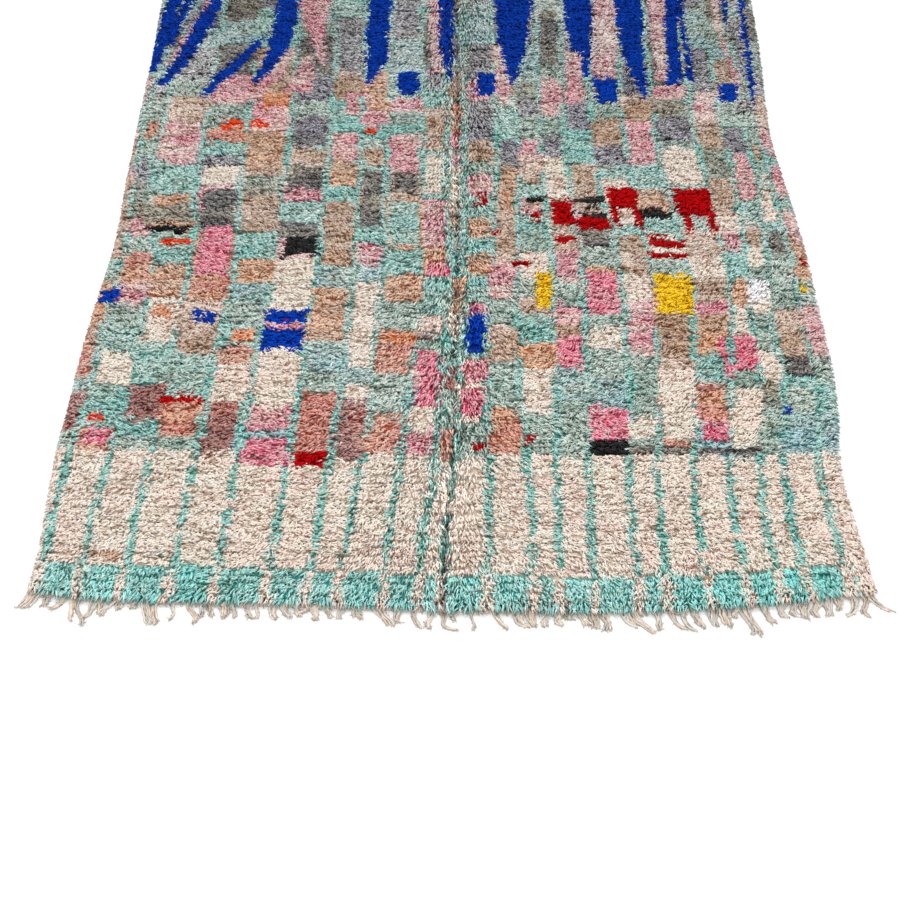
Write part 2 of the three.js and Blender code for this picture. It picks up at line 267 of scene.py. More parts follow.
# Locks of the fringe in millimetres: where each leaves the edge across, how far its tip lies to
# the right of that, how far it reaches from the edge, and how wide it is
LOCKS = [
    (-769, -34, 38, 24), (-745, -14, 30, 15), (-723, -6, 38, 15), (-699, -10, 54, 11),
    (-687, -4, 64, 9), (-662, -8, 48, 13), (-649, -8, 40, 9), (-630, -13, 34, 11),
    (-614, -3, 22, 15), (-589, 0, 20, 15), (-559, 8, 52, 30), (-512, -2, 42, 7),
    (-479, 6, 50, 13), (-469, 16, 36, 9), (-448, 7, 38, 13), (-426, 14, 36, 17),
    (-409, 14, 38, 9), (-374, -2, 38, 13), (-359, 2, 38, 7), (-337, 16, 36, 19),
    (-312, 10, 34, 15), (-288, 6, 30, 13), (-262, -12, 26, 9), (-247, -9, 36, 17),
    (-232, 12, 34, 10), (-196, -14, 34, 10), (-169, -2, 28, 22), (-135, 30, 42, 22),
    (-94, -8, 38, 11), (-69, 7, 46, 9), (-43, 14, 46, 13), (-23, 22, 58, 13),
    (18, -16, 30, 7), (40, 4, 46, 6), (87, 9, 48, 9), (124, 12, 40, 22),
    (152, -3, 36, 19), (179, -1, 32, 11), (198, 6, 32, 13), (214, 10, 20, 13),
    (244, 6, 32, 20), (266, 5, 38, 20), (289, 0, 40, 19), (318, 30, 36, 22),
    (340, 26, 50, 17), (383, 7, 42, 11), (411, 11, 52, 11), (430, 9, 56, 11),
    (450, 13, 42, 19), (481, 10, 42, 17), (504, 11, 44, 17), (528, 4, 28, 15),
    (546, 24, 66, 22), (582, 10, 48, 17), (612, 6, 38, 17), (635, 6, 38, 17),
    (656, 5, 44, 17), (679, 1, 44, 19), (703, 1, 44, 17), (722, 6, 36, 15),
    (750, 6, 56, 13), (771, 5, 54, 13), (784, 28, 46, 13),
]

# How light the wool has worn along the rug
WEAR = [
    dict(along=0.50, tone=1.05), dict(along=1.00, tone=0.96), dict(along=1.40, tone=0.92),
    dict(along=1.56, tone=0.72), dict(along=2.20, tone=0.72), dict(along=2.32, tone=1.00),
]

# The crease, in metres: how far the groove, the parted pile and the painted shade on the strands and
# on the bed reach from it, and half of its open slit
CREASE_REACH = 0.020
PARTED_REACH = 0.030
CREASE_SHADE_REACH = 0.0060
BED_CREASE_SHADE_REACH = 0.012
SLIT_HALF = 0.0052

# The ground's inset from the sides in metres, and its faces across and along
GROUND_INSET = 0.012
GROUND_GRID = (56, 92)

# The rim, in metres: how far in the knots end, how far in strands begin to lean over it, how much
# further they reach over the strip at the near edge, and where the first and last roots stand
RIM_INSET = 0.006
LEAN_OVER = 0.014
OVER_STRIP = 0.006
FIRST_ROOT = 0.003
LAST_ROOT = PILE_END - 0.004

# The bed: its faces across, how far in from the sides and the near edge it starts and how long it
# is, its height as a share of the pile's, its height at the rim and how far in that rounds off, its
# lumps and the tone of its painted shade, deep in the pile
BED_COLUMNS = 100
BED_INSET = 0.008
BED_START = 0.005
BED_LENGTH = PILE_END - 0.009
BED_SHARE = 0.61
BED_RIM = 0.0035
ROLL_OVER = 0.018
BED_LUMPS = 0.0030
BED_SHADE_TONE = 0.68

# Painted shade in the cracks between the pile's rows and clumps: their pitch, and the tint that the
# painted shade leaves of the yarn's colour
CRACK_PITCH = 0.0150
CRACK_SHADE_TINT = (0.55, 0.40, 0.31)

# Knots' backs under the ground: pitch of the rows and of the loops
BACK_ROW = 0.0085
BACK_LOOP = 0.0090

# Strands: how many a knot has, how much knots and single strands turn and roll, in radians, how
# far they stray and bend aside, and where along its reach a strand has its crown and shows its yarn
STRANDS_PER_KNOT = 8
KNOT_TURN = 0.26
STRAND_TURN = 0.36
STRAND_ROLL = 0.36
STRAY = 0.0018
BEND = 0.0022
CROWN_AT = 0.30
SHOWS_AT = 0.55

# Pieces of the pile, by where each one ends
PILE_BANDS = [
    dict(name="pile_plain_band", end=PLAIN_END),
    dict(name="pile_patchwork_near", end=0.880),
    dict(name="pile_patchwork_far", end=PATCHWORK_END),
    dict(name="pile_streaks_near", end=1.840),
    dict(name="pile_streaks_far", end=STREAKS_END),
    dict(name="pile_far_band", end=PILE_END),
]

# The fringe's strip: how far in from the sides it ends, its steps across the rug, its ribs, and
# how far its lower edges are above the floor
STRIP_INSET = 0.007
STRIP_STATIONS = 220
STRIP_RIBS = 4
FLOOR_GAP = 0.0002

# The fringe's locks: the steps along a yarn, the pitch of the yarns in a lock, how wide a lock can
# be and still wind and curl freely, each yarn's stray fibres, and the tufts over the strip
YARN_STEPS = 11
YARN_PITCH = 0.0024
SUPPLE_WIDTH = 0.014
STRAY_HAIRS = 5
TUFTS = 620

# Stage, in metres, degrees and watts
CAMERA_BACK = 1.100
CAMERA_HEIGHT = 2.070
CAMERA_SIDE = 0.012
CAMERA_DIP = 54.8
CAMERA_TURN = 0.66
LENS = 50.0
FILM_WIDTH = 36.0
DAYLIGHT = 1.08
FLOOR_SIZE = 16.0
FLOOR_GREY = 0.92
LIGHTS = [
    dict(name="overhead", place=(-0.6, 0.8, 3.2), size=3.5, power=66),
    dict(name="fill", place=(1.5, -3.0, 2.6), size=2.5, power=26),
]


def linear(*rgb):
    """Scene-linear colour from how a yarn shows, in red, green and blue from 0 to 255."""
    shares = [value / 255 for value in rgb]
    return tuple(s / 12.92 if s <= 0.04045 else ((s + 0.055) / 1.055) ** 2.4 for s in shares)


def yarn_colour(name, description, *rgb):
    """A colour property for one yarn."""
    return bpy.props.FloatVectorProperty(
        name=name, description=description, default=linear(*rgb), subtype="COLOR", min=0, max=1
    )


def size(name, description, default):
    """A length property in metres."""
    return bpy.props.FloatProperty(
        name=name, description=description, default=default, subtype="DISTANCE", unit="LENGTH"
    )


class RugYarns(bpy.types.PropertyGroup):
    """Colours of the rug's yarns."""

    cream: yarn_colour("Cream", "Undyed wool of the plain bands", 224, 216, 204)
    blush: yarn_colour("Blush", "Cream with a breath of pink", 230, 210, 199)
    clear_mint: yarn_colour("Clear mint", "Blocks of the end borders", 148, 226, 221)
    line: yarn_colour("Line", "Mint of the lines between the columns", 142, 212, 202)
    mint: yarn_colour("Mint", "Mint blocks", 142, 206, 198)
    frost: yarn_colour("Frost", "Pale grey-mint blocks", 200, 213, 203)
    sage: yarn_colour("Sage", "Grey-green blocks", 162, 184, 171)
    aqua: yarn_colour("Aqua", "Mint blocks with a blue cast", 160, 200, 206)
    stone: yarn_colour("Stone", "Beige-grey blocks", 176, 168, 150)
    pink: yarn_colour("Pink", "Soft pink blocks", 226, 162, 172)
    rose: yarn_colour("Rose", "Bright pink blocks", 240, 126, 156)
    salmon: yarn_colour("Salmon", "Faded coral blocks", 216, 150, 132)
    peach: yarn_colour("Peach", "Light orange blocks", 226, 186, 152)
    amber: yarn_colour("Amber", "Dull orange shade at the ends of some blocks", 224, 150, 96)
    orange: yarn_colour("Orange", "Small orange dashes", 244, 70, 16)
    tan: yarn_colour("Tan", "Light brown blocks", 196, 168, 140)
    brown: yarn_colour("Brown", "Dull red-brown blocks", 172, 118, 110)
    mauve: yarn_colour("Mauve", "Grey with a violet cast", 136, 132, 150)
    grey: yarn_colour("Grey", "Warm dark grey blocks", 102, 95, 97)
    black: yarn_colour("Black", "Near black accents", 34, 32, 34)
    blue: yarn_colour("Blue", "Deep royal blue", 0, 66, 182)
    red: yarn_colour("Red", "Deep red accents", 188, 0, 6)
    yellow: yarn_colour("Yellow", "Golden yellow accents", 246, 206, 6)
    white: yarn_colour("White", "Bluish white accent", 247, 247, 252)
    warp: yarn_colour("Warp", "Undyed warp ends of the fringe", 222, 209, 195)


class RugSizes(bpy.types.PropertyGroup):
    """Sizes of the rug's pile and fringe."""

    knot_pitch: size("Knot pitch", "Distance between knots across the rug", 0.0090)
    row_pitch: size("Row pitch", "Distance between rows of knots", 0.0170)
    pile_height: size("Pile height", "Usual height of the pile over the floor", 0.020)
    pile_drift: size("Pile drift", "How far the pile's height swells and sinks", 0.0012)
    crease_depth: size("Crease depth", "How deep the parting along the old fold is", 0.007)
    strand_reach: size("Strand reach", "How far a strand of pile lies over", 0.0172)
    strand_width: size("Strand width", "Thickness of a strand of pile", 0.0028)
    ground_thickness: size("Ground thickness", "Thickness of the woven ground", 0.003)
    strip_width: size("Strip width", "Width of the flat-woven strip at the near edge", 0.009)
    strip_height: size("Strip height", "Height of the flat-woven strip", 0.004)


# How each yarn has aged: how unlike its strands are, how pale their crowns got, the yarn that
# its weaker dye lots lean to, and the deep colour of the depth of the pile, unworn dye that for
# most yarns is darkened and saturated as painted shade. Crowns wear to the pale colour, and the
# hem and the knots' backs to undyed wool.
YARN_LOOK = [
    dict(yarn="cream", mottle=0.05, worn=0.26, leans="blush", deep=(234, 218, 198)),
    dict(yarn="blush", mottle=0.05, worn=0.26, leans="cream", deep=(234, 210, 194)),
    dict(yarn="clear_mint", mottle=0.11, worn=0.40, leans="mint", deep=(84, 194, 186)),
    dict(yarn="line", mottle=0.15, worn=0.42, leans="mint", deep=(48, 148, 134)),
    dict(yarn="mint", mottle=0.20, worn=0.50, leans="frost", deep=(66, 150, 142)),
    dict(yarn="frost", mottle=0.20, worn=0.50, leans="sage", deep=(124, 158, 144)),
    dict(yarn="sage", mottle=0.20, worn=0.42, leans="frost", deep=(82, 118, 104)),
    dict(yarn="aqua", mottle=0.20, worn=0.48, leans="frost", deep=(66, 134, 140)),
    dict(yarn="stone", mottle=0.18, worn=0.30, leans="sage", deep=(112, 102, 84)),
    dict(yarn="pink", mottle=0.19, worn=0.54, leans="blush", deep=(190, 44, 86)),
    dict(yarn="rose", mottle=0.18, worn=0.56, leans="pink", deep=(218, 34, 94)),
    dict(yarn="salmon", mottle=0.16, worn=0.34, leans="peach", deep=(184, 72, 56)),
    dict(yarn="peach", mottle=0.14, worn=0.34, leans="tan", deep=(200, 122, 74)),
    dict(yarn="amber", mottle=0.14, worn=0.26, leans="peach", deep=(214, 104, 36)),
    dict(yarn="orange", mottle=0.08, worn=0.02, leans="orange", deep=(214, 46, 0)),
    dict(yarn="tan", mottle=0.15, worn=0.26, leans="blush", deep=(150, 100, 70)),
    dict(yarn="brown", mottle=0.18, worn=0.28, leans="salmon", deep=(106, 44, 42)),
    dict(yarn="mauve", mottle=0.42, worn=0.54, leans="grey", deep=(52, 44, 70)),
    dict(yarn="grey", mottle=0.36, worn=0.24, leans="stone", deep=(40, 32, 36)),
    dict(yarn="black", mottle=0.24, worn=0.03, leans="black", deep=(14, 11, 13)),
    dict(yarn="blue", mottle=0.07, worn=0.00, leans="blue", deep=(0, 42, 142)),
    dict(yarn="red", mottle=0.07, worn=0.00, leans="red", deep=(140, 0, 2)),
    dict(yarn="yellow", mottle=0.08, worn=0.04, leans="yellow", deep=(210, 156, 0)),
    dict(yarn="white", mottle=0.03, worn=0.10, leans="white", deep=(240, 240, 248)),
]
YARN_NAMES = [row["yarn"] for row in YARN_LOOK]
YARN = {name: number for number, name in enumerate(YARN_NAMES)}
DEEP = np.array([linear(*row["deep"]) for row in YARN_LOOK])
PALE = np.array(linear(230, 231, 227))
UNDYED = np.array(linear(212, 202, 188))


def chance(index, stream):
    """A repeatable number from 0 to 1 for each whole number, as in the solids."""
    wave = np.sin(np.asarray(index) * 12.9898 + stream * 78.233) * 43758.5453
    return wave - np.floor(wave)


def drift(x, y, lump, stream):
    """Soft noise from -1 to 1 over the cloth, with lumps of the given size."""
    column = np.floor(x / lump)
    row = np.floor(y / lump)
    across = x / lump - column
    along = y / lump - row
    across = across * across * (3 - 2 * across)
    along = along * along * (3 - 2 * along)
    near = chance(column + 157 * row, stream) * (1 - across)
    near = near + chance(column + 1 + 157 * row, stream) * across
    far = chance(column + 157 * (row + 1), stream) * (1 - across)
    far = far + chance(column + 1 + 157 * (row + 1), stream) * across
    return 2 * (near * (1 - along) + far * along) - 1


def read(table, key, column, places):
    """Smooth curve through one column of a table, read at places in its key column."""
    keys = np.array([row[key] for row in table])
    values = np.array([row[column] for row in table])
    before = np.maximum(np.arange(len(keys)) - 1, 0)
    after = np.minimum(np.arange(len(keys)) + 1, len(keys) - 1)
    slopes = (values[after] - values[before]) / (keys[after] - keys[before])
    row = np.clip(np.searchsorted(keys, places, side="left") - 1, 0, len(keys) - 2)
    span = keys[row + 1] - keys[row]
    t = np.clip((places - keys[row]) / span, 0, 1)
    rise = t * t * (3 - 2 * t)
    bend = t * (1 - t) * span * ((1 - t) * slopes[row] - t * slopes[row + 1])
    return values[row] + (values[row + 1] - values[row]) * rise + bend


def crease_at(along):
    """Where the lengthwise crease runs, across, at distances along."""
    return read(CREASE, "along", "across", along)


def bow(across, along):
    """How far the near edge's bow moves a point along the rug."""
    left = np.maximum(1 - np.maximum(along, 0) / BOW_FADE, 0)
    return read(NEAR_EDGE, "across", "ahead", across) * left * left


def on_cloth(share, along, inset=0.0):
    """Plan place of points given by share, -1 left, 0 crease and 1 right, and distance along."""
    share = np.asarray(share, dtype=float)
    along = np.asarray(along, dtype=float)
    fold = crease_at(along)
    left = read(SIDES, "along", "left", along) + inset
    right = read(SIDES, "along", "right", along) - inset
    side = np.where(share < 0, left, right)
    across = fold + (side - fold) * np.abs(share)
    return across, along + bow(across, along)


def to_frame(across, ahead, height):
    """Points in the frame from places on the rug's plan and heights."""
    return np.stack([across + SHIFT_X, ahead + NEAR_Y, height + 0 * across], axis=-1)


def pile_height(across, along):
    """Height of the pile over the floor, with its lumps and the crease, as in the solids."""
    sizes = bpy.context.scene.rug_sizes
    swell = np.sin(across / 0.071 + 2.1 * np.sin(along / 0.203))
    swell = swell + np.sin(along / 0.057 + 1.7 * np.sin(across / 0.167))
    swell = swell + 0.6 * np.sin((across + along) / 0.097 + 1.3)
    gap = np.abs(across - crease_at(along)) / CREASE_REACH
    groove = sizes.crease_depth * np.exp(-gap * gap)
    return sizes.pile_height + sizes.pile_drift * swell - groove


def column_lines(along):
    """Where the mint lines between the columns run at distances along, from the left side."""
    stations = [row["along"] for row in COLUMN_LINES]
    runs = zip(*[row["across"] for row in COLUMN_LINES])
    return np.stack([np.interp(along, stations, run) for run in runs], axis=-1)


def patchwork_blocks():
    """Blocks of every column from near to far: column, start, end and yarn."""
    draw = random.Random(43)
    blocks = []
    for column in range(len(COLUMN_LINES[0]["across"]) + 1):
        side = -1 if column < LEFT_COLUMNS else 1
        zones = [zone for zone in PATCHWORK_ZONES if zone["side"] == side]
        start = PLAIN_END
        last = "mint"
        while start < STREAKS_END:
            zone = next((z for z in zones if start < z["end"]), zones[-1])
            again = MINT_AFTER_MINT if last in MINTS else MINT_AFTER_OTHER
            # Only mints are laid beside themselves, and no cream lies against the plain band
            beside = {yarn for number, near, far, yarn in blocks
                      if number == column - 1 and near < start + BLOCKS_APART and far > start + 0.01}
            if start == PLAIN_END:
                beside.add(YARN["cream"])
            shares = {name: share for name, share in zone["yarns"].items()
                      if name != last and (name in MINTS or YARN[name] not in beside)}
            weights = [share * (again if name in MINTS else 1.0) for name, share in shares.items()]
            last = draw.choices(list(shares), weights)[0]
            length = draw.choice(BLOCK_LENGTHS)
            length *= 0.85 if last in MINTS else 1.15
            length *= 1.5 if start > PATCHWORK_END else 1.0
            blocks.append((column, start, start + length, YARN[last]))
            start += length
    return blocks


def lay_streaks(yarn, side, ahead):
    """Lays the long streaks over the columns, and tells where they lie."""
    covered = np.zeros(yarn.shape, dtype=bool)
    for name, *path in STREAKS:
        across, along, wide = np.array(path).T / 1000
        half = np.interp(ahead, along, wide) / 2
        inside = np.abs(side - np.interp(ahead, along, across)) < half
        inside &= (ahead > along[0]) & (ahead < along[-1])
        yarn = np.where(inside, YARN[name], yarn)
        covered |= inside
    return yarn, covered


def pattern(share, along):
    """Number of the yarn at places given by their share across and distance along."""
    across = share * HALF_WIDTH
    wobble = 0.0035 * drift(across, along, 0.033, 3) + 0.0015 * drift(across, along, 0.012, 4)
    side = across + wobble + 0.005 * drift(0 * across + 5.0, along, 0.21, 5)
    ahead = along + 0.004 * drift(across, along, 0.05, 6) + 0.002 * drift(across, along, 0.015, 7)
    lines = column_lines(along)
    column = (side[..., None] > lines).sum(axis=-1)
    nearest = np.abs(side[..., None] - lines).min(axis=-1)
    on_line = nearest < LINE_HALF * (1 + 0.35 * drift(across, along, 0.025, 8))

    # Plain bands: cream, pinker to the right, with mint lines
    pinker = drift(across, along, 0.11, 9) + 0.5 * share
    yarn = np.where(pinker > 0.25, YARN["blush"], YARN["cream"])
    plain = (ahead >= BORDER_END) & (ahead < PLAIN_END)
    plain |= (ahead >= STREAKS_END) & (ahead < FAR_PLAIN_END)
    broken = drift(across, along, 0.035, 10) > 0.70
    yarn = np.where(plain & on_line & ~broken, YARN["line"], yarn)

    # Borders of mint blocks at both ends
    border = (ahead < BORDER_END) | (ahead >= FAR_PLAIN_END)
    border &= (side > lines[..., 0]) & (side < lines[..., -1] + 0.012)
    gap = nearest < BORDER_GAP_HALF + 0.003 * drift(across, along, 0.03, 12)
    yarn = np.where(border & ~gap, YARN["clear_mint"], yarn)

    # Patchwork, with the streaks and accents over it, and mint lines between its columns
    field = (ahead >= PLAIN_END) & (ahead < STREAKS_END)
    for number, start, end, block_yarn in patchwork_blocks():
        block = field & (column == number) & (ahead >= start) & (ahead < end)
        yarn = np.where(block, block_yarn, yarn)
    yarn, covered = lay_streaks(yarn, side, ahead)

    for name, blocks in ACCENTS.items():
        for middle_across, middle_along, wide, length in np.array(blocks) / 1000:
            inside = np.abs(side - middle_across) < wide / 2
            inside &= np.abs(ahead - middle_along) < length / 2
            yarn = np.where(inside, YARN[name], yarn)
    marked = covered | np.isin(yarn, [YARN[name] for name in UNCROSSED])
    missing = drift(across, along, 0.07, 14) > 0.40
    faint = drift(across, along, 0.05, 15) > -0.4
    mint_line = np.where(faint, YARN["mint"], YARN["line"])
    yarn = np.where(field & on_line & ~missing & ~marked, mint_line, yarn)
    return yarn


def yarn_table():
    """Scene-linear colours of all yarns, one row each."""
    yarns = bpy.context.scene.rug_yarns
    return np.array([list(getattr(yarns, name)) for name in YARN_NAMES])


def nap(share, across, along):
    """Which way the pile lies, in radians from straight towards the fringe, and right is plus.

    It turns out towards the sides in waves, and by the crease it leans in a little."""
    left = read(NAP, "along", "left", along)
    right = read(NAP, "along", "right", along)
    out = np.clip(np.abs(share) / NAP_TURNED_BY, 0, 1)
    lie = np.radians(np.where(share < 0, left, right)) * out * (2 - out)
    waves = 0.30 * drift(across, along, 0.13, 21) + 0.30 * drift(across, along, 0.045, 22)
    gap = np.abs(across - crease_at(along))
    near_crease = np.exp(-((gap / NAP_PARTED) ** 2))
    inward = -0.16 * np.sign(share) * np.clip(gap / 0.022, 0.10, 1)
    return (lie + waves) * (1 - near_crease) + inward * near_crease


def make_object(name, points, triangles, smooth=True):
    """A mesh object from arrays of points and triangles, in the scene's collection."""
    mesh = bpy.data.meshes.new(name)
    mesh.vertices.add(len(points))
    mesh.vertices.foreach_set("co", np.asarray(points, dtype=np.float32).ravel())
    mesh.loops.add(3 * len(triangles))
    mesh.loops.foreach_set("vertex_index", np.asarray(triangles, dtype=np.int32).ravel())
    mesh.polygons.add(len(triangles))
    mesh.polygons.foreach_set("loop_start", np.arange(len(triangles), dtype=np.int32) * 3)
    mesh.polygons.foreach_set("use_smooth", np.full(len(triangles), smooth))
    mesh.update(calc_edges=True)
    mesh.validate()
    made = bpy.data.objects.new(name, mesh)
    bpy.context.collection.objects.link(made)
    return made


def paint(made, colours, domain="POINT"):
    """Stores colours, one for each point or face, in the attribute that the wool reads."""
    layer = made.data.attributes.new("yarn", "FLOAT_COLOR", domain)
    rgba = np.ones((len(colours), 4), dtype=np.float32)
    rgba[:, :3] = np.clip(colours, 0, 1)
    layer.data.foreach_set("color", rgba.ravel())


class Sock:
    """A socket in a material, so that shader maths reads as plain sums."""

    def __init__(self, shader, socket):
        self.shader = shader
        self.socket = socket

    def maths(self, operation, *values, clamp=False):
        """A Math node of the given operation on values or sockets."""
        settings = dict(operation=operation, use_clamp=clamp)
        return self.shader.node("Math", settings, dict(enumerate(values)))["Value"]

    def __add__(self, other):
        return self.maths("ADD", self, other)

    def __radd__(self, other):
        return self.maths("ADD", other, self)

    def __sub__(self, other):
        return self.maths("SUBTRACT", self, other)

    def __rsub__(self, other):
        return self.maths("SUBTRACT", other, self)

    def __mul__(self, other):
        return self.maths("MULTIPLY", self, other)

    def __rmul__(self, other):
        return self.maths("MULTIPLY", other, self)

    def __abs__(self):
        return self.maths("ABSOLUTE", self)

    def sine(self):
        """The sine of the value."""
        return self.maths("SINE", self)

    def to_whole(self):
        """How far off the nearest whole number the value is."""
        return self.maths("PINGPONG", self, 0.5)

    def clamped(self):
        """The value kept between 0 and 1."""
        return self.maths("ADD", self, 0.0, clamp=True)


class Shader:
    """A material's nodes."""

    def __init__(self, name):
        self.material = bpy.data.materials.new(name)
        self.material.use_nodes = True
        self.nodes = self.material.node_tree.nodes
        self.links = self.material.node_tree.links
        self.nodes.clear()

    def node(self, kind, settings=None, inputs=None):
        """Adds a node: its type, its settings, and the values or links of its sockets."""
        made = self.nodes.new("ShaderNode" + kind)
        for key, value in (settings or {}).items():
            setattr(made, key, value)
        for key, value in (inputs or {}).items():
            if isinstance(value, Sock):
                self.links.new(value.socket, made.inputs[key])
            else:
                made.inputs[key].default_value = value
        return {out.name: Sock(self, out) for out in made.outputs if out.enabled}

    def finish(self, **inputs):
        """Adds the surface shader and the output, and gives the material."""
        named = {key.replace("_", " "): value for key, value in inputs.items()}
        surface = self.node("BsdfPrincipled", None, named)["BSDF"]
        self.node("OutputMaterial", None, {"Surface": surface})
        return self.material


def crack_shade_lines(shader, place):
    """Where painted shade lies in thin winding cracks between the rows of pile and round its clumps,
    0 to 1.
    """
    parts = shader.node("SeparateXYZ", None, {0: place})
    flat = shader.node("CombineXYZ", None, {"X": parts["X"] * 0.6, "Y": parts["Y"]})["Vector"]

    def noise(scale, detail):
        inputs = {"Vector": flat, "Scale": scale, "Detail": detail}
        return shader.node("TexNoise", None, inputs)["Fac"]

    wander = noise(26.0, 1.0) * 1.7 + noise(85.0, 2.0)
    row = parts["Y"] * (1 / CRACK_PITCH) + wander
    open_rows = ((noise(27.0, 1.0) - 0.42) * 6.0).clamped()
    between_rows = (1 - row.to_whole() * 6.5).clamped() * open_rows
    open_clumps = ((noise(37.0, 0.0) - 0.40) * 5.0).clamped()
    round_clumps = (1 - abs(noise(62.0, 1.0) - 0.5) * 26.0).clamped() * open_clumps
    return (between_rows + round_clumps).clamped()


def wool_material(name, fibre_scale, bump_strength, crack_shade_depth=0.0):
    """Matt wool whose colour comes from the yarn attribute, with fine fibres and, if asked, painted
    shade in cracks.
    """
    shader = Shader(name)
    yarn = shader.node("Attribute", dict(attribute_name="yarn"))["Color"]
    place = shader.node("TexCoord")["Object"]
    if crack_shade_depth:
        # Painted shade: in the cracks the yarn's colour is squared and tinted, so it turns darker and
        # more saturated
        times = dict(operation="MULTIPLY")
        saturated = shader.node("VectorMath", times, {0: yarn, 1: yarn})["Vector"]
        dark = shader.node("VectorMath", times, {0: saturated, 1: CRACK_SHADE_TINT})["Vector"]
        share = crack_shade_lines(shader, place) * crack_shade_depth
        yarn = shader.node(
            "Mix", dict(data_type="RGBA"), {"Factor": share, "A": yarn, "B": dark}
        )["Result"]
    fibre = shader.node(
        "TexNoise", None, {"Vector": place, "Scale": fibre_scale, "Detail": 2.0, "Roughness": 0.6}
    )["Fac"]
    fleck = shader.node("TexNoise", None, {"Vector": place, "Scale": 340.0, "Detail": 1.0})["Fac"]
    tone = 0.62 + fibre * 0.34 + fleck * 0.44
    colour = shader.node("VectorMath", dict(operation="SCALE"), {0: yarn, "Scale": tone})["Vector"]
    bump = shader.node(
        "Bump", None, {"Strength": bump_strength, "Distance": 0.0008, "Height": fibre}
    )["Normal"]
    return shader.finish(Base_Color=colour, Roughness=0.95, Normal=bump, Specular_IOR_Level=0.08)


def ground_material():
    """Back of the knots and the flat-woven hem: rows of small loops across the rug."""
    shader = Shader("woven ground")
    yarn = shader.node("Attribute", dict(attribute_name="yarn"))["Color"]
    place = shader.node("TexCoord")["Object"]
    parts = shader.node("SeparateXYZ", None, {0: place})
    turn = 2 * math.pi
    rows = (parts["Y"] * (turn / BACK_ROW)).sine()
    loops = (parts["X"] * (turn / BACK_LOOP)).sine()
    fibre = shader.node("TexNoise", None, {"Vector": place, "Scale": 700.0, "Detail": 2.0})["Fac"]
    relief = rows * 0.35 + loops * 0.2 + fibre * 0.5
    tone = 0.80 + rows * 0.08 + loops * 0.04 + fibre * 0.30
    colour = shader.node("VectorMath", dict(operation="SCALE"), {0: yarn, "Scale": tone})["Vector"]
    bump = shader.node("Bump", None, {"Strength": 0.6, "Distance": 0.001, "Height": relief})["Normal"]
    return shader.finish(Base_Color=colour, Roughness=0.95, Normal=bump)


def deselect():
    """Clears the selection before a primitive is added."""
    bpy.ops.object.select_all(action="DESELECT")


def add_grid(name, columns, rows):
    """A flat grid with its corners at -1 and 1, ready to be laid on the cloth."""
    deselect()
    bpy.ops.mesh.primitive_grid_add(x_subdivisions=columns, y_subdivisions=rows, size=2)
    made = bpy.context.object
    made.name = name
    made.data.name = name
    return made


def grid_places(made):
    """Share across and share along of a fresh grid's points."""
    places = np.empty(3 * len(made.data.vertices))
    made.data.vertices.foreach_get("co", places)
    places = places.reshape(-1, 3)
    return places[:, 0], (places[:, 1] + 1) / 2


def set_points(made, points):
    """Moves a mesh's points to new places."""
    made.data.vertices.foreach_set("co", np.asarray(points, dtype=np.float32).ravel())
    made.data.update()


def face_centres(made):
    """Middles of a mesh's faces."""
    centres = np.empty(3 * len(made.data.polygons))
    made.data.polygons.foreach_get("center", centres)
    return centres.reshape(-1, 3)


def plan_shares(points):
    """Share across and distance along of points in the frame, the inverse of on_cloth."""
    across = points[:, 0] - SHIFT_X
    along = points[:, 1] - NEAR_Y
    for _ in range(4):
        along = points[:, 1] - NEAR_Y - bow(across, along)
    fold = crease_at(along)
    left = read(SIDES, "along", "left", along)
    right = read(SIDES, "along", "right", along)
    to_left = -(across - fold) / (left - fold)
    to_right = (across - fold) / (right - fold)
    share = np.where(across < fold, to_left, to_right)
    return share, along


class RUG_OT_ground(bpy.types.Operator):
    """Weaves the ground of the rug, with the knots' backs beneath and the hem at the far end"""

    bl_idname = "rug.ground"
    bl_label = "Woven ground"

    def execute(self, context):
        sizes = context.scene.rug_sizes
        ground = add_grid("woven_ground", *GROUND_GRID)
        share, far_share = grid_places(ground)
        along = far_share * LENGTH
        across, ahead = on_cloth(share, along, GROUND_INSET)
        set_points(ground, to_frame(across, ahead, 0 * across))
        thick = ground.modifiers.new("Thickness", "SOLIDIFY")
        thick.thickness = sizes.ground_thickness
        thick.offset = 1
        bpy.ops.object.modifier_apply(modifier=thick.name)
        share, along = plan_shares(face_centres(ground))
        back = yarn_table()[pattern(share, along)]
        fade = 0.32 + 0.10 * chance(np.arange(len(back)), 41)[:, None]
        back = back * (1 - fade) + UNDYED * fade
        hem = (along > PILE_END)[:, None]
        paint(ground, np.where(hem, UNDYED, back), "FACE")
        ground.data.materials.append(ground_material())
        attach(ground, "root")
        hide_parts("rug")
        return {"FINISHED"}


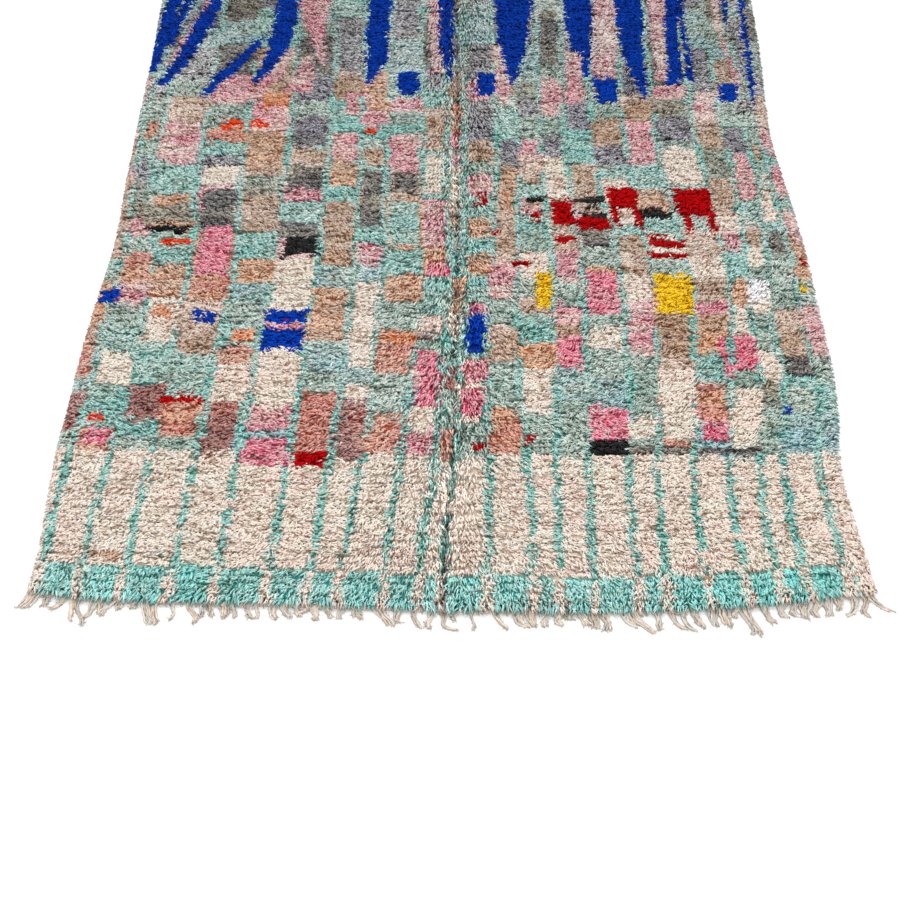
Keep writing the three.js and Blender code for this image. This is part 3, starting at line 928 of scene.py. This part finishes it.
class RUG_OT_bed(bpy.types.Operator):
    """Fills the depth of the pile between the strands"""

    bl_idname = "rug.bed"
    bl_label = "Pile bed"

    def execute(self, context):
        sizes = context.scene.rug_sizes
        rows = round(LAST_ROOT / sizes.row_pitch)
        bed = add_grid("pile_bed", BED_COLUMNS, rows)
        share, far_share = grid_places(bed)
        along = BED_START + far_share * BED_LENGTH
        across, ahead = on_cloth(share, along, BED_INSET)
        lumps = chance(np.arange(len(share)), 42) - 0.5
        height = pile_height(across, along) * BED_SHARE + BED_LUMPS * lumps
        side = (1 - np.abs(share)) * HALF_WIDTH
        end = np.minimum(along, PILE_END - along)
        edge = np.clip(np.minimum(side, end) / ROLL_OVER, 0, 1)
        height = BED_RIM + (height - BED_RIM) * np.sqrt(edge)
        set_points(bed, to_frame(across, ahead, height))
        # Painted shade: the bed takes the deep colour, darkened by its tone, because the depth of the
        # pile lies in shade
        _, colour = aged(pattern(share, along), across, along)
        # Painted shade in the crease, darkest at the fold
        fold = np.abs(across - crease_at(along))
        shade = 1 - 0.90 * np.exp(-((fold / BED_CREASE_SHADE_REACH) ** 2))
        paint(bed, BED_SHADE_TONE * colour * shade[:, None])
        bed.data.shade_smooth()
        bed.data.materials.append(wool_material("pile bed", 900.0, 0.6))
        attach(bed, "root")
        return {"FINISHED"}


# Corners of a strand's faces: 0 is the root, 1 and 2 the two sides of its crown, and 3 its tip
STRAND_FACES = np.array([[0, 2, 1], [1, 2, 3], [0, 1, 3], [0, 3, 2]])
# Where each corner lies in the strand's cell of its colour map, unrolled round the upper face
STRAND_MAP = np.array([
    [[0.50, 0.05], [0.80, 0.45], [0.20, 0.45]], [[0.20, 0.45], [0.80, 0.45], [0.50, 0.95]],
    [[0.03, 0.93], [0.20, 0.45], [0.50, 0.95]], [[0.97, 0.93], [0.50, 0.95], [0.80, 0.45]],
])


def knots_between(first, last):
    """Shares across and distances along of the knots in the rows of one band."""
    sizes = bpy.context.scene.rug_sizes
    rows = np.arange(0.5 * sizes.row_pitch, LAST_ROOT, sizes.row_pitch)
    rows = rows[(rows >= first) & (rows < last)]
    count = round(2 * (HALF_WIDTH - RIM_INSET) / sizes.knot_pitch)
    columns = ((np.arange(count) + 0.5) / count * 2 - 1) * (1 - RIM_INSET / HALF_WIDTH)
    share, along = np.meshgrid(columns, rows)
    return share.ravel(), along.ravel()


def yarns_seen(share, along, lie, rng):
    """Yarn of each strand, which is the pattern's at the place where the strand shows."""
    landing = SHOWS_AT * bpy.context.scene.rug_sizes.strand_reach
    off_side = rng.normal(0, STRAY, len(share))
    off_along = rng.normal(0, STRAY, len(share))
    seen_share = share + (landing * np.sin(lie) + off_side) / HALF_WIDTH
    seen_along = along - landing * np.cos(lie) + off_along
    return pattern(seen_share, np.clip(seen_along, 0, PILE_END))


def scatter(share, along, rng):
    """Spreads each knot's strands round it, in rows that sway."""
    sizes = bpy.context.scene.rug_sizes
    count = len(share)
    place = np.tile(np.arange(STRANDS_PER_KNOT), count // STRANDS_PER_KNOT)
    beside = (place % 2 - 0.5) * 0.5 + (rng.random(count) - 0.5) * 0.5
    spread = 0.96 + 0.13 * drift(share * HALF_WIDTH, along, 0.08, 62)
    behind = ((place // 2 - 1.5) * 0.21 + (rng.random(count) - 0.5) * 0.22) * spread
    rim = 1 - RIM_INSET / HALF_WIDTH
    share = np.clip(share + beside * sizes.knot_pitch / HALF_WIDTH, -rim, rim)
    sway = 0.34 * drift(share * HALF_WIDTH, along, 0.045, 61)
    sway = sway + 0.24 * drift(share * HALF_WIDTH, along, 0.020, 63)
    sway = sway * np.clip(along / 0.05, 0, 1)
    along = np.clip(along + (behind + sway) * sizes.row_pitch, FIRST_ROOT, LAST_ROOT)
    return share, along


def rims(share, along):
    """How much a strand belongs to a side, to the near edge and to the hem, from 0 to 1."""
    row_pitch = bpy.context.scene.rug_sizes.row_pitch
    to_side = HALF_WIDTH * (1 - np.abs(share)) - RIM_INSET
    outward = np.clip(1 - to_side / LEAN_OVER, 0, 1)
    over_strip = np.clip(1 - along / LEAN_OVER, 0, 1)
    over_hem = along > PILE_END - 0.6 * row_pitch
    return outward, over_strip, over_hem


def strand_headings(share, across, along, turn, by_fold, rng):
    """Which way each strand points: with the nap, and off the rug at its rims."""
    outward, over_strip, over_hem = rims(share, along)
    heading = nap(share, across, along)
    loose = turn + rng.normal(0, STRAND_TURN, len(share))
    heading = heading + loose * (1 - 0.3 * by_fold)
    heading = heading * (1 - outward) + np.sign(share) * (0.85 + 0.15 * heading) * outward
    heading = np.where(over_hem, math.pi + rng.normal(0, 0.5, len(share)), heading)
    return heading * (1 - 0.5 * over_strip)


def strand_points(share, across, along, ahead, heading, by_fold, rank, rng):
    """Root, both sides of the crown, and tip of each strand.

    Strands droop over the rims of the rug, and by the crease they reach further and are thinner."""
    sizes = bpy.context.scene.rug_sizes
    count = len(share)
    outward, over_strip, over_hem = rims(share, along)
    droop = np.maximum(np.maximum(0.8 * outward, over_strip), over_hem * 0.9)
    reach = sizes.strand_reach * rng.uniform(0.85, 1.15, count) * (1 + 0.5 * by_fold)
    reach = reach * (1 - 0.25 * outward) + OVER_STRIP * over_strip
    top = pile_height(across, along) * (0.88 + 0.15 * rank)
    top = top * (1 - 0.20 * droop)
    toward = np.stack([np.sin(heading), -np.cos(heading), 0 * heading], axis=-1)
    aside = np.stack([-toward[:, 1], toward[:, 0], 0 * heading], axis=-1)
    bend = rng.normal(0, BEND, count)[:, None] * aside
    root = to_frame(across, ahead, 0.25 * top)
    crown = root + toward * (CROWN_AT * reach)[:, None] + bend
    crown[:, 2] = 0.96 * top
    tip = root + toward * reach[:, None] - bend
    tip[:, 2] = top * (rng.uniform(0.80, 0.96, count) - 0.40 * droop)

    # The crown's two sides lie across the way from crown to tip, rolled a little about it
    over = tip - crown
    over /= np.linalg.norm(over, axis=1, keepdims=True)
    level = np.stack([-over[:, 1], over[:, 0], 0 * heading], axis=-1)
    level /= np.linalg.norm(level, axis=1, keepdims=True)
    up = np.cross(over, level)
    half = 0.5 * sizes.strand_width * rng.uniform(0.75, 1.25, count) * (1 - 0.15 * by_fold)
    roll = rng.uniform(-STRAND_ROLL, STRAND_ROLL, count)[:, None]
    side = (level + up * roll) * half[:, None]
    return np.stack([root, crown + side, crown - side, tip], axis=1).reshape(-1, 3)


def lay_strands(name, first, last, seed):
    """The strands of pile of one band, as one mesh with a colour for each point."""
    rng = np.random.default_rng(seed)
    knot_share, knot_along = knots_between(first, last)
    lie = nap(knot_share, knot_share * HALF_WIDTH, knot_along)
    turn = rng.normal(0, KNOT_TURN, len(knot_share))
    share, along, lie, turn = (
        np.repeat(values, STRANDS_PER_KNOT) for values in (knot_share, knot_along, lie, turn)
    )
    yarn = yarns_seen(share, along, lie, rng)
    share, along = scatter(share, along, rng)
    across, ahead = on_cloth(share, along)
    fold = across - crease_at(along)
    slit = SLIT_HALF * rng.uniform(0, 1.6, len(share))
    across = across + np.sign(fold) * np.maximum(slit - np.abs(fold), 0)
    by_fold = np.exp(-((fold / PARTED_REACH) ** 2))
    heading = strand_headings(share, across, along, turn, by_fold, rng)
    rank = rng.random(len(share))
    points = strand_points(share, across, along, ahead, heading, by_fold, rank, rng)
    first_points = 4 * np.arange(len(share))[:, None, None]
    made = make_object(name, points, (STRAND_FACES + first_points).reshape(-1, 3))
    shades = strand_shades(yarn, across, along, by_fold, rank, rng)
    # Painted shade in the crease's slit: strands by the fold are darker
    lit = 1 - 0.64 * np.exp(-((fold / CREASE_SHADE_REACH) ** 2))
    paint(made, np.stack(shades, axis=1).reshape(-1, 3) * np.repeat(lit, 4)[:, None])
    map_strands(made, len(share))
    return made


def map_strands(made, count):
    """Gives each strand a cell of its own in the colour map."""
    wide = math.ceil(math.sqrt(count))
    cell = np.stack([np.arange(count) % wide, np.arange(count) // wide], axis=-1)
    places = (STRAND_MAP + cell[:, None, None, :]) / wide
    layer = made.data.uv_layers.new(name="OFBake")
    layer.data.foreach_set("uv", places.astype(np.float32).ravel())


def aged(yarn, across, along):
    """Worn and deep colours of yarns in their places, where weak dye lots lean to another yarn."""
    yarns = yarn_table()
    leans = np.array([YARN[row["leans"]] for row in YARN_LOOK])[yarn]
    rows = drift(across * 0.35, along, 0.028, 51) + 0.7 * drift(across, along, 0.09, 52)
    lean = np.clip(0.30 + 0.55 * rows, 0, 0.85)[:, None]
    places = [row["along"] for row in WEAR]
    tone = np.interp(along, places, [row["tone"] for row in WEAR])[:, None]
    worn = yarns[yarn] * (1 - lean) + yarns[leans] * lean
    deep = DEEP[yarn] * (1 - lean) + DEEP[leans] * lean
    return worn * tone, deep * tone


def strand_shades(yarn, across, along, by_fold, rank, rng):
    """Colours of a strand's four points: the higher it lies, the paler it has worn.

    Yarns that aged unevenly, and strands by the crease, differ more in how light they are. Low
    strands take the deep colour, unworn dye with painted shade deep in the pile. One side of each
    crown, left or right by chance, is painted in shade with the deep colour, and the root darker
    still."""
    count = len(yarn)
    mottle = np.array([row["mottle"] for row in YARN_LOOK])[yarn]
    worn = np.array([row["worn"] for row in YARN_LOOK])[yarn]
    fade = 0.75 + 0.45 * drift(across, along, 0.16, 53)
    pale = np.clip(worn * fade * (0.1 + 1.6 * rank), 0, 0.9)[:, None]
    uneven = 1.3 * mottle + 0.55 * by_fold
    light = np.exp(uneven * (0.8 - rng.exponential(1.0, count)) + 0.06 * by_fold)[:, None]
    depth = np.clip(0.25 + 3 * mottle, 0, 0.70)[:, None]
    colour, deep = aged(yarn, across, along)
    colour = colour * light
    # Painted shade: the deep colour is darkened, the more in yarns that aged unevenly
    deep = deep * light * (1 - 0.28 * depth)
    # Low strands take the deep colour: unworn dye, and painted shade deep in the pile
    low = 1.2 * depth * np.clip((0.58 - rank) / 0.34, 0, 1)[:, None]
    colour = colour * (1 - low) + deep * low
    crown = colour * (1 - pale) + PALE * pale
    # Painted shade on one side of the crown, which gives each strand a dark edge
    side = deep * depth + colour * (1 - depth)
    left = rng.random(count)[:, None] < 0.5
    # The root is painted in shade, at half the deep colour
    return [deep * 0.5, np.where(left, crown, side), np.where(left, side, crown), crown * 0.97]


class RUG_OT_pile(bpy.types.Operator):
    """Knots the pile: strands that lean over, a few to each knot, in a piece for each band"""

    bl_idname = "rug.pile"
    bl_label = "Pile"

    def execute(self, context):
        wool = wool_material("pile wool", 1500.0, 0.35, crack_shade_depth=0.9)
        starts = [0.0] + [band["end"] for band in PILE_BANDS[:-1]]
        for number, (start, band) in enumerate(zip(starts, PILE_BANDS)):
            made = lay_strands(band["name"], start, band["end"], 100 + number)
            made.data.materials.append(wool)
            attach(made, "root")
        return {"FINISHED"}


class MeshParts:
    """Points, triangles and colours of many small closed shapes that become one mesh."""

    def __init__(self):
        self.points = []
        self.faces = []
        self.colours = []
        self.count = 0

    def add(self, points, faces, colours):
        self.points.append(np.asarray(points, dtype=float))
        self.faces.append(np.asarray(faces) + self.count)
        self.colours.append(np.asarray(colours, dtype=float))
        self.count += len(points)

    def join(self, name):
        made = make_object(name, np.concatenate(self.points), np.concatenate(self.faces))
        paint(made, np.concatenate(self.colours))
        return made


def wall_faces(rings, around):
    """Triangles of the wall through rings that have the same number of points."""
    faces = []
    for ring in range(rings - 1):
        for side in range(around):
            a = ring * around + side
            b = ring * around + (side + 1) % around
            faces += [[a, b, b + around], [a, b + around, a + around]]
    return faces


def tube_faces(rings, sides):
    """Triangles of a tube of rings, with a closed first end and a pointed last end."""
    faces = wall_faces(rings, sides)
    last = (rings - 1) * sides
    for side in range(sides):
        faces.append([last + side, last + (side + 1) % sides, last + sides])
    for side in range(1, sides - 1):
        faces.append([0, side + 1, side])
    return faces


def tube(parts, path, radii, sides, colours, flat=1.0):
    """A closed tube along a path, round or flattened, with a pointed last end and painted shade
    below.
    """
    path = np.asarray(path)
    ahead = np.gradient(path, axis=0)
    ahead /= np.linalg.norm(ahead, axis=1, keepdims=True)
    side = np.stack([-ahead[:, 1], ahead[:, 0], 0 * ahead[:, 0]], axis=-1)
    side /= np.maximum(np.linalg.norm(side, axis=1, keepdims=True), 1e-9)
    up = np.cross(ahead, side)
    angles = np.arange(sides) / sides * 2 * math.pi + 0.3
    rings = (
        path[:, None, :]
        + side[:, None, :] * (radii[:, None] * np.cos(angles))[:, :, None]
        + up[:, None, :] * (radii[:, None] * flat * np.sin(angles))[:, :, None]
    )
    end = path[-1] + ahead[-1] * radii[-1] * 0.8
    points = np.concatenate([rings.reshape(-1, 3), end[None]])
    # Painted shade: each ring is lighter on its upper side and darker on its lower sides
    lit = np.tile(0.76 + 0.24 * np.sin(angles), len(path))[:, None]
    shades = np.concatenate([np.repeat(colours, sides, axis=0) * lit, colours[-1:]])
    parts.add(points, tube_faces(len(path), sides), shades)


def warp_shades(count, base, rng):
    """Colours along a warp yarn: undyed wool, uneven from place to place."""
    tone = 0.64 + 0.40 * rng.random() + 0.09 * rng.standard_normal(count)
    cast = 1 + 0.045 * rng.standard_normal() * np.array([1.0, 0.1, -1.0])
    return base[None, :] * tone[:, None] * cast


def turning_path(start, heading, reach, t, spread, rng):
    """Places on the plan along a fibre that starts the way it points and then turns off."""
    turn = heading + rng.normal(0, spread) * t
    return start[0] + reach * t * np.sin(turn), start[1] - reach * t * np.cos(turn)


def lay_hair(parts, start, heading, reach, base, rng):
    """One stray fibre on the floor, from a place on the plan and the way it points."""
    t = np.linspace(0, 1, 3)
    across, ahead = turning_path(start, heading, reach, t, 0.7, rng)
    height = 0.0012 + 0.0024 * rng.random() * (1 - t)
    radii = np.array([0.0010, 0.0008, 0.0004])
    # Painted light: the thin fibre is a little lighter, for the light through it
    tube(parts, to_frame(across, ahead, height), radii, 3, warp_shades(3, base * 1.05, rng))


def lay_tuft(parts, start, heading, reach, base, rng):
    """One short end of wool that lies over the strip and hides its edge."""
    t = np.linspace(0, 1, 5)
    across, ahead = turning_path(start, heading, reach, t, 1.0, rng)
    height = 0.0048 - 0.0030 * t**2 + 0.0006 * rng.random()
    radii = rng.uniform(0.0012, 0.0018) * np.array([1.0, 1.1, 1.0, 0.9, 0.6])
    tube(parts, to_frame(across, ahead, height), radii, 4, warp_shades(5, base, rng), flat=0.8)


def lay_lock(parts, lock, base, rng):
    """One lock of warp ends: yarns that leave the strip, wind round each other, curl and fray."""
    root, shift, reach, wide = (value / 1000 for value in lock)
    edge = float(read(NEAR_EDGE, "across", "ahead", root))
    yarns = max(3, round(wide / YARN_PITCH))
    supple = min(1.0, SUPPLE_WIDTH / wide)
    curl = rng.normal(0, 0.22) * reach * supple
    wave = rng.normal(0, 0.10) * reach * supple
    turns = rng.choice((-1, 1)) * rng.uniform(0.5, 1.1) * supple
    for number in range(yarns):
        t = np.linspace(0, rng.uniform(0.84, 1.02), YARN_STEPS)
        # The yarns wind round each other, draw together and fan out a little at the end
        beside = ((number + 0.5) / yarns - 0.5) * wide
        angle = 2 * math.pi * turns * t + rng.normal(0, 0.25)
        gather = 1.15 - 0.60 * t + 0.50 * t**3
        offset = beside * np.cos(angle * (number % 3 / 2 + 0.2)) * gather
        offset = offset + 0.16 * min(wide, SUPPLE_WIDTH) * np.sin(angle + number * 2.4)
        # The lock's end hooks round, and the lock comes off the strip down to the floor
        hook = np.clip(t - 0.60, 0, 1) ** 2 * 5
        across = root + shift * (0.6 * t + 0.4 * t**2) + offset + curl * hook
        across = across + wave * np.sin(5.5 * t) + 0.0006 * rng.standard_normal(YARN_STEPS)
        ahead = edge + 0.004 - (reach + 0.004) * t + 0.45 * abs(curl) * hook
        past = np.clip((edge - ahead) / 0.012 - 0.75, 0, 1)
        loose = 0.0025 + 0.0020 * (0.5 + 0.5 * np.sin(angle + number * 2.4 + 1.6)) * (1 - 0.4 * t)
        height = 0.0046 * (1 - past) + loose * past
        radii = rng.uniform(0.0018, 0.0026) * (1 - 0.15 * t)
        radii = radii * (1 + 0.12 * rng.standard_normal(YARN_STEPS))
        radii = np.clip(radii, 0.0012, 0.0030)
        shades = warp_shades(YARN_STEPS, base, rng)
        if lock is LOCKS[0] and number % 3 == 1:
            shades = shades * (0.95, 0.74, 0.70)
        tube(parts, to_frame(across, ahead, height), radii, 4, shades, flat=0.8)
        for _ in range(STRAY_HAIRS):
            step = rng.integers(7, YARN_STEPS)
            heading = math.atan2(across[step] - across[step - 1], ahead[step - 1] - ahead[step])
            heading += rng.normal(0, 0.8)
            start = (across[step], ahead[step])
            lay_hair(parts, start, heading, rng.uniform(0.003, 0.008), base, rng)


def weave_strip(parts, base, rng):
    """The flat-woven strip between the pile and the loose warp ends, ribbed along its weft."""
    sizes = bpy.context.scene.rug_sizes
    share = np.linspace(-1, 1, STRIP_STATIONS)
    across, ahead = on_cloth(share, 0 * share, STRIP_INSET)
    profile = [(0.0, FLOOR_GAP)]
    for t in np.linspace(0, 1, 4 * STRIP_RIBS + 1):
        bulge = abs(math.sin(math.pi * STRIP_RIBS * t))
        profile.append((-sizes.strip_width * t, sizes.strip_height * (0.72 + 0.28 * bulge)))
    profile.append((-sizes.strip_width, FLOOR_GAP))
    rows = []
    for back, height in profile:
        wave = 0.0004 * rng.standard_normal(STRIP_STATIONS)
        rows.append(to_frame(across, ahead + back + wave, height + 0 * across))
    points = np.stack(rows, axis=1)
    around = len(profile)
    faces = wall_faces(STRIP_STATIONS, around)
    last = (STRIP_STATIONS - 1) * around
    faces += [[side + 1, side, 0] for side in range(1, around - 1)]
    faces += [[last, last + side, last + side + 1] for side in range(1, around - 1)]
    shades = warp_shades(STRIP_STATIONS, base, rng)
    parts.add(points.reshape(-1, 3), faces, np.repeat(shades, around, axis=0))


class RUG_OT_fringe(bpy.types.Operator):
    """Lays the warp ends of the near edge on the floor, with the strip that holds them"""

    bl_idname = "rug.fringe"
    bl_label = "Fringe"

    def execute(self, context):
        rng = np.random.default_rng(7)
        base = np.array(list(context.scene.rug_yarns.warp))
        parts = MeshParts()
        weave_strip(parts, base, rng)
        (first, last), _ = on_cloth(np.array([-1.0, 1.0]), np.zeros(2), STRIP_INSET)
        for lock in LOCKS:
            lay_lock(parts, lock, base, rng)
        for across in rng.uniform(first, last, TUFTS):
            ahead = float(read(NEAR_EDGE, "across", "ahead", across)) + rng.uniform(-0.004, 0.002)
            lay_tuft(parts, (across, ahead), rng.normal(0, 0.5), rng.uniform(0.008, 0.015), base, rng)
        made = parts.join("warp_fringe")
        made.data.materials.append(wool_material("warp wool", 1300.0, 0.5))
        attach(made, "root")
        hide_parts("fringe")
        return {"FINISHED"}


class RUG_OT_stage(bpy.types.Operator):
    """Sets the pale floor, the soft light and the camera"""

    bl_idname = "rug.stage"
    bl_label = "Stage"

    def execute(self, context):
        deselect()
        bpy.ops.mesh.primitive_plane_add(size=FLOOR_SIZE, location=(0, 0, 0))
        floor = context.object
        floor.name = "floor"
        bpy.ops.object.transform_apply(location=True, rotation=True, scale=True)
        shader = Shader("floor")
        grey = (FLOOR_GREY, FLOOR_GREY, FLOOR_GREY, 1)
        floor.data.materials.append(shader.finish(Base_Color=grey, Roughness=0.9))

        world = bpy.data.worlds.new("studio")
        world.use_nodes = True
        back = world.node_tree.nodes["Background"]
        back.inputs["Color"].default_value = (1.0, 1.0, 1.0, 1)
        back.inputs["Strength"].default_value = DAYLIGHT
        context.scene.world = world

        for row in LIGHTS:
            light = bpy.data.lights.new(row["name"], "AREA")
            light.shape = "RECTANGLE"
            light.size = row["size"]
            light.size_y = row["size"]
            light.energy = row["power"]
            lamp = bpy.data.objects.new(row["name"], light)
            context.collection.objects.link(lamp)
            lamp.location = row["place"]
            direction = -lamp.location
            lamp.rotation_euler = direction.to_track_quat("-Z", "Y").to_euler()

        lens = bpy.data.cameras.new("camera")
        lens.lens = LENS
        lens.sensor_width = FILM_WIDTH
        eye = bpy.data.objects.new("camera", lens)
        context.collection.objects.link(eye)
        eye.location = (CAMERA_SIDE + SHIFT_X, NEAR_Y - CAMERA_BACK, CAMERA_HEIGHT)
        eye.rotation_euler = (math.radians(90 - CAMERA_DIP), 0, math.radians(CAMERA_TURN))
        context.scene.camera = eye
        context.scene.view_settings.view_transform = "Standard"
        return {"FINISHED"}


class RUG_PT_panel(bpy.types.Panel):
    """The rug's steps, in the 3D view's sidebar"""

    bl_idname = "RUG_PT_panel"
    bl_label = "Knotted rug"
    bl_space_type = "VIEW_3D"
    bl_region_type = "UI"
    bl_category = "Rug"

    def draw(self, context):
        for step in STEPS:
            self.layout.operator(step.bl_idname)
        for name in RugSizes.__annotations__:
            self.layout.prop(context.scene.rug_sizes, name)
        for name in RugYarns.__annotations__:
            self.layout.prop(context.scene.rug_yarns, name)


STEPS = (RUG_OT_stage, RUG_OT_ground, RUG_OT_bed, RUG_OT_pile, RUG_OT_fringe)
CLASSES = (RugYarns, RugSizes) + STEPS + (RUG_PT_panel,)


def register():
    """Registers the classes and hangs the sizes and colours on the scene."""
    for each in CLASSES:
        bpy.utils.register_class(each)
    bpy.types.Scene.rug_sizes = bpy.props.PointerProperty(type=RugSizes)
    bpy.types.Scene.rug_yarns = bpy.props.PointerProperty(type=RugYarns)


def unregister():
    """Takes the classes, sizes and colours off again."""
    del bpy.types.Scene.rug_yarns
    del bpy.types.Scene.rug_sizes
    for each in reversed(CLASSES):
        bpy.utils.unregister_class(each)


def main():
    register()
    bpy.ops.rug.stage()
    bpy.ops.rug.ground()
    bpy.ops.rug.bed()
    bpy.ops.rug.pile()
    bpy.ops.rug.fringe()


if __name__ == "__main__":
    main()
